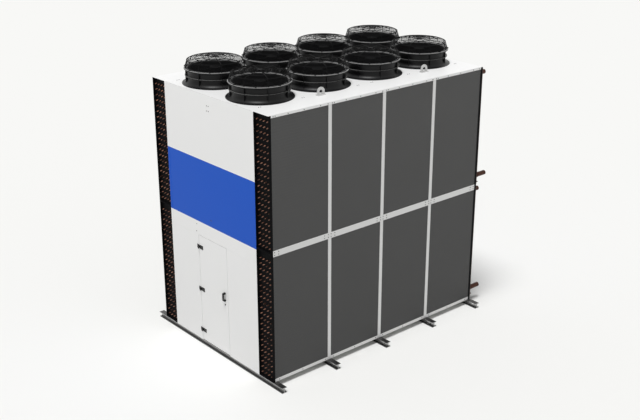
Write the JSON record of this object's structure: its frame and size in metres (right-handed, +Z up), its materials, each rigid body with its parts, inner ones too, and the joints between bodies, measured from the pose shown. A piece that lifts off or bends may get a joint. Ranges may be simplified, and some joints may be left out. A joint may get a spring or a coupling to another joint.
{
  "type": "dry cooler",
  "caption": "Walk-in box dry cooler on steel beams: tall fin coils on both long sides, white end walls with a service door, and guarded axial fans on the roof.",
  "frame": {"origin": "on the ground, at the middle of the middle beam's underside", "axes": "+X across the width to the right of the door, -Y the front with the door, +Z up"},
  "size_m": [3.73, 5.338, 5.171],
  "materials": {
    "white_sheet": "powder coated, satin",
    "black_sheet": "matt black coated sheet",
    "coil_fins": "closely spaced coated fins",
    "copper_tube": "bare copper",
    "galvanised_steel": "hot-dip galvanised",
    "floor_sheet": "galvanised sheet",
    "lug_steel": "galvanised plate",
    "black_plastic": "glossy black moulding",
    "guard_wire": "black coated wire",
    "motor_case": "black coated casting",
    "impeller_plastic": "matt black"
  },
  "bodies": {
    "housing": {"base_beam_1": "galvanised_steel", "base_beam_2": "galvanised_steel", "base_beam_3": "galvanised_steel", "base_beam_4": "galvanised_steel", "base_beam_5": "galvanised_steel", "bottom_rails": "white_sheet", "coil_left_lower": "coil_fins", "coil_left_upper": "coil_fins", "coil_right_lower": "coil_fins", "coil_right_upper": "coil_fins", "door_hinge_plates": "black_plastic", "end_trays_left": "black_sheet", "end_trays_right": "black_sheet", "fan_guards_left": "guard_wire", "fan_guards_right": "guard_wire", "fan_motors_left": "motor_case", "fan_motors_right": "motor_case", "fan_nozzles_left": "black_plastic", "fan_nozzles_right": "black_plastic", "floor_pan": "floor_sheet", "front_panel_left": "white_sheet", "front_panel_right": "white_sheet", "front_panel_upper": "white_sheet", "headers": "copper_tube", "lifting_lugs": "lug_steel", "mid_rails": "white_sheet", "rear_panel_lower": "white_sheet", "rear_panel_upper": "white_sheet", "return_bends_left": "copper_tube", "return_bends_right": "copper_tube", "roof_bay_1": "white_sheet", "roof_bay_2": "white_sheet", "roof_bay_3": "white_sheet", "roof_bay_4": "white_sheet", "side_posts": "white_sheet", "wall_trims": "white_sheet"},
    "door": {"door_leaf": "white_sheet", "door_hinge_leaves": "black_plastic", "door_handle": "black_plastic"},
    "fan_1": {"fan_rotor_1": "impeller_plastic"},
    "fan_2": {"fan_rotor_2": "impeller_plastic"},
    "fan_3": {"fan_rotor_3": "impeller_plastic"},
    "fan_4": {"fan_rotor_4": "impeller_plastic"},
    "fan_5": {"fan_rotor_5": "impeller_plastic"},
    "fan_6": {"fan_rotor_6": "impeller_plastic"},
    "fan_7": {"fan_rotor_7": "impeller_plastic"},
    "fan_8": {"fan_rotor_8": "impeller_plastic"}
  },
  "joints": [
    {"name": "door_hinge", "type": "hinge", "parent": "housing", "child": "door", "pos_m": [-0.408, -2.467, 1.12], "axis": [0, 0, -1], "range_deg": [0, 110]},
    {"name": "fan_spin_1", "type": "hinge", "parent": "housing", "child": "fan_1", "pos_m": [-0.62, -1.827, 4.842], "axis": [0, 0, 1], "continuous": true},
    {"name": "fan_spin_2", "type": "hinge", "parent": "housing", "child": "fan_2", "pos_m": [-0.62, -0.609, 4.842], "axis": [0, 0, 1], "continuous": true},
    {"name": "fan_spin_3", "type": "hinge", "parent": "housing", "child": "fan_3", "pos_m": [-0.62, 0.609, 4.842], "axis": [0, 0, 1], "continuous": true},
    {"name": "fan_spin_4", "type": "hinge", "parent": "housing", "child": "fan_4", "pos_m": [-0.62, 1.827, 4.842], "axis": [0, 0, 1], "continuous": true},
    {"name": "fan_spin_5", "type": "hinge", "parent": "housing", "child": "fan_5", "pos_m": [0.62, -1.827, 4.842], "axis": [0, 0, 1], "continuous": true},
    {"name": "fan_spin_6", "type": "hinge", "parent": "housing", "child": "fan_6", "pos_m": [0.62, -0.609, 4.842], "axis": [0, 0, 1], "continuous": true},
    {"name": "fan_spin_7", "type": "hinge", "parent": "housing", "child": "fan_7", "pos_m": [0.62, 0.609, 4.842], "axis": [0, 0, 1], "continuous": true},
    {"name": "fan_spin_8", "type": "hinge", "parent": "housing", "child": "fan_8", "pos_m": [0.62, 1.827, 4.842], "axis": [0, 0, 1], "continuous": true}
  ]
}
